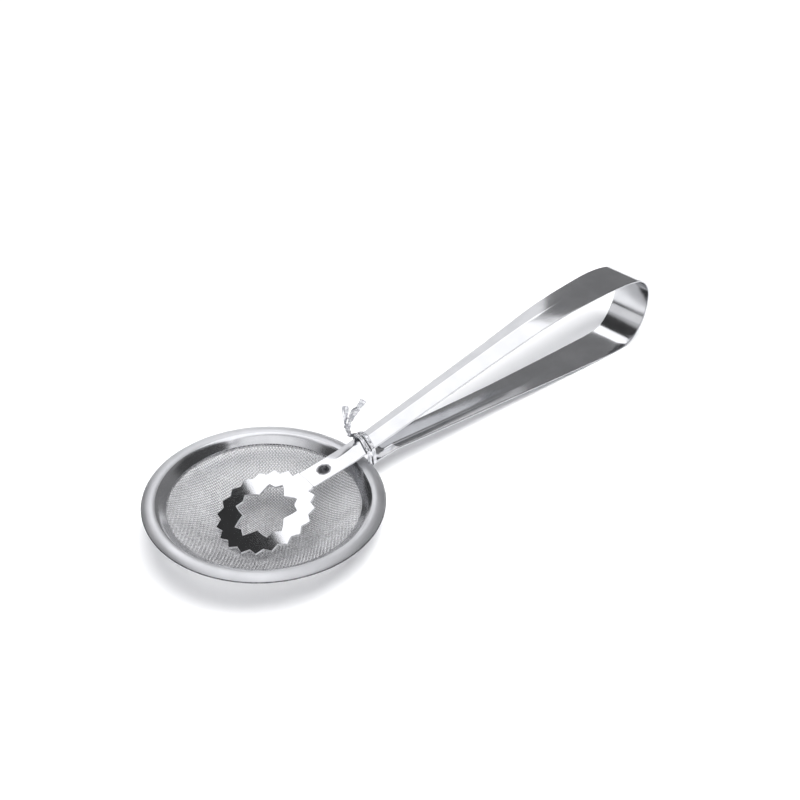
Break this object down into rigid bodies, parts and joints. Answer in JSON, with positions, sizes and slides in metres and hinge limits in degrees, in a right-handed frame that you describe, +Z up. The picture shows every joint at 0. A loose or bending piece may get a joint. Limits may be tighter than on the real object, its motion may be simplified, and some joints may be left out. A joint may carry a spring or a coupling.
{
  "type": "strainer tongs",
  "caption": "Steel strainer tongs: a woven mesh pan and a flat toothed jaw with a blossom window on the ends of one bent spring strip, held shut by a silver foil twist tie.",
  "frame": {"origin": "middle of the footprint on the table the tongs rest on, half way along their length", "axes": "+X runs from the mesh pan to the spring bow, +Z is up away from the table, +Y completes the right-handed frame across the strip"},
  "size_m": [0.2725, 0.104, 0.0417],
  "materials": {
    "polished_steel": "polished",
    "steel_wire": "satin",
    "weld_steel": "matte",
    "silver_foil": "satin"
  },
  "bodies": {
    "lower": {"pan_rim": "polished_steel", "clamp_ring": "polished_steel", "mesh_bowl": "steel_wire", "lower_arm": "polished_steel", "spot_welds": "weld_steel", "bow_lower": "polished_steel", "tie_foil_under": "silver_foil", "tie_core_under": "silver_foil"},
    "upper": {"bow_upper": "polished_steel", "upper_arm": "polished_steel", "toothed_jaw": "polished_steel", "tie_foil_over": "silver_foil", "tie_core_over": "silver_foil", "tie_twist": "silver_foil", "tie_tail_left": "silver_foil", "tie_tail_right": "silver_foil"}
  },
  "joints": [
    {"name": "arm_opening", "type": "hinge", "parent": "lower", "child": "upper", "pos_m": [0.1358, 0, 0.02556], "axis": [0, 1, 0], "range_deg": [0, 15], "stiffness_Nm_per_rad": 0.35}
  ]
}
